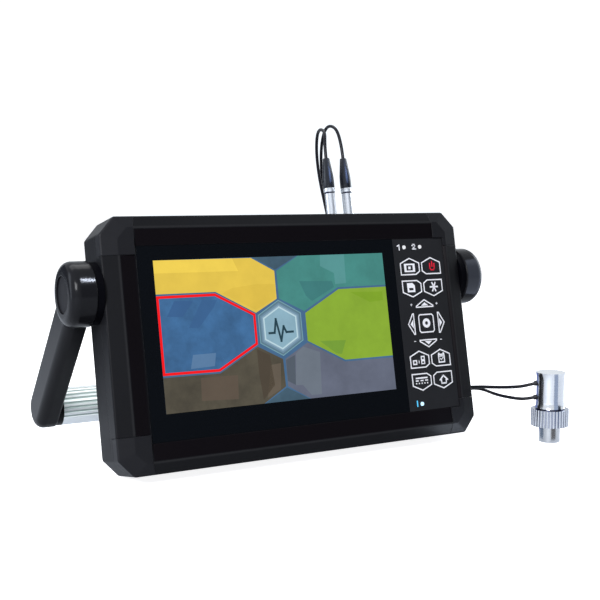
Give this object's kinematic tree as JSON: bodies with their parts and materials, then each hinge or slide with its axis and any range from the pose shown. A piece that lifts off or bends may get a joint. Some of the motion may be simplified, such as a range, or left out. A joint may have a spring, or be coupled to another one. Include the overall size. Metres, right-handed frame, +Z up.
{
  "type": "ultrasonic flaw detector",
  "caption": "Portable ultrasonic flaw detector with a leaning case, screen, keypad, swinging carrying handle, probe leads and a dual-element transducer.",
  "frame": {"origin": "on the floor, below the middle of the case with its handle swung down (leads, plugs and transducer not counted)", "axes": "+X to the right seen from the screen side, +Y to the back, +Z up"},
  "size_m": [0.3154, 0.1528, 0.2061],
  "materials": {
    "case_plastic": "satin",
    "arm_plastic": "satin",
    "disc_plastic": "matte",
    "cover_rubber": "satin",
    "grip_aluminium": "fluted satin",
    "seal_rubber": "matte",
    "screw_steel": "zinc plated",
    "window_gloss": "gloss with the lit screen behind it",
    "display_dark": "gloss",
    "label_plastic": "satin",
    "key_rubber": "satin with white outline",
    "board_green": "solder resist",
    "battery_blue": "shrink sleeve",
    "lamp_white": "clear",
    "lamp_blue": "clear",
    "socket_nickel": "nickel plated",
    "plug_steel": "turned",
    "boot_plastic": "satin",
    "lead_black": "satin",
    "probe_chrome": "polished",
    "probe_tip": "turned"
  },
  "bodies": {
    "case": {"battery_hatch": "case_plastic", "battery_hatch_screws": "screw_steel", "battery_pack": "battery_blue", "board_screws": "screw_steel", "case_screws": "screw_steel", "corner_cover_lower_left": "cover_rubber", "corner_cover_lower_right": "cover_rubber", "corner_cover_upper_left": "cover_rubber", "corner_cover_upper_right": "cover_rubber", "display_window": "window_gloss", "front_frame": "case_plastic", "front_gasket": "seal_rubber", "keypad_board": "board_green", "keypad_label": "label_plastic", "lcd_panel": "display_dark", "lead_1_coil": "lead_black", "lead_1_lower": "lead_black", "lead_1_upper": "lead_black", "lead_2_coil": "lead_black", "lead_2_lower": "lead_black", "lead_2_upper": "lead_black", "led_1": "lamp_white", "led_2": "lamp_white", "main_board": "board_green", "pivot_disc_left": "disc_plastic", "pivot_disc_right": "disc_plastic", "pivot_screws": "screw_steel", "plug_1": "plug_steel", "plug_2": "plug_steel", "plug_boot_1": "boot_plastic", "plug_boot_2": "boot_plastic", "power_led": "lamp_blue", "probe_socket_1": "socket_nickel", "probe_socket_2": "socket_nickel", "rear_housing": "case_plastic", "rubber_feet": "seal_rubber", "socket_nuts": "socket_nickel", "transducer_body": "probe_chrome", "transducer_glands": "lead_black", "transducer_ring": "probe_chrome", "transducer_tip": "probe_tip"},
    "handle": {"handle_arm_left": "arm_plastic", "handle_arm_right": "arm_plastic", "handle_grip": "grip_aluminium", "hub_cap_left": "arm_plastic", "hub_cap_right": "arm_plastic"},
    "key_range": {"key_range": "key_rubber"},
    "key_power": {"key_power": "key_rubber"},
    "key_save": {"key_save": "key_rubber"},
    "key_freeze": {"key_freeze": "key_rubber"},
    "key_up": {"key_up": "key_rubber"},
    "key_left": {"key_left": "key_rubber"},
    "key_down": {"key_down": "key_rubber"},
    "key_right": {"key_right": "key_rubber"},
    "key_gate": {"key_gate": "key_rubber"},
    "key_results": {"key_results": "key_rubber"},
    "key_list": {"key_list": "key_rubber"},
    "key_home": {"key_home": "key_rubber"},
    "key_enter": {"key_enter": "key_rubber"}
  },
  "joints": [
    {"name": "handle_swing", "type": "hinge", "parent": "case", "child": "handle", "pos_m": [0, -0.02306, 0.10473], "axis": [1, 0, 0], "range_deg": [-5, 85]},
    {"name": "key_range_press", "type": "slide", "parent": "case", "child": "key_range", "axis": [0, 0.9799, -0.1997], "range_m": [0, 0.0008], "stiffness_N_per_m": 2000},
    {"name": "key_power_press", "type": "slide", "parent": "case", "child": "key_power", "axis": [0, 0.9799, -0.1997], "range_m": [0, 0.0008], "stiffness_N_per_m": 2000},
    {"name": "key_save_press", "type": "slide", "parent": "case", "child": "key_save", "axis": [0, 0.9799, -0.1997], "range_m": [0, 0.0008], "stiffness_N_per_m": 2000},
    {"name": "key_freeze_press", "type": "slide", "parent": "case", "child": "key_freeze", "axis": [0, 0.9799, -0.1997], "range_m": [0, 0.0008], "stiffness_N_per_m": 2000},
    {"name": "key_up_press", "type": "slide", "parent": "case", "child": "key_up", "axis": [0, 0.9799, -0.1997], "range_m": [0, 0.0008], "stiffness_N_per_m": 2000},
    {"name": "key_left_press", "type": "slide", "parent": "case", "child": "key_left", "axis": [0, 0.9799, -0.1997], "range_m": [0, 0.0008], "stiffness_N_per_m": 2000},
    {"name": "key_down_press", "type": "slide", "parent": "case", "child": "key_down", "axis": [0, 0.9799, -0.1997], "range_m": [0, 0.0008], "stiffness_N_per_m": 2000},
    {"name": "key_right_press", "type": "slide", "parent": "case", "child": "key_right", "axis": [0, 0.9799, -0.1997], "range_m": [0, 0.0008], "stiffness_N_per_m": 2000},
    {"name": "key_gate_press", "type": "slide", "parent": "case", "child": "key_gate", "axis": [0, 0.9799, -0.1997], "range_m": [0, 0.0008], "stiffness_N_per_m": 2000},
    {"name": "key_results_press", "type": "slide", "parent": "case", "child": "key_results", "axis": [0, 0.9799, -0.1997], "range_m": [0, 0.0008], "stiffness_N_per_m": 2000},
    {"name": "key_list_press", "type": "slide", "parent": "case", "child": "key_list", "axis": [0, 0.9799, -0.1997], "range_m": [0, 0.0008], "stiffness_N_per_m": 2000},
    {"name": "key_home_press", "type": "slide", "parent": "case", "child": "key_home", "axis": [0, 0.9799, -0.1997], "range_m": [0, 0.0008], "stiffness_N_per_m": 2000},
    {"name": "key_enter_press", "type": "slide", "parent": "case", "child": "key_enter", "axis": [0, 0.9799, -0.1997], "range_m": [0, 0.0008], "stiffness_N_per_m": 2000}
  ]
}
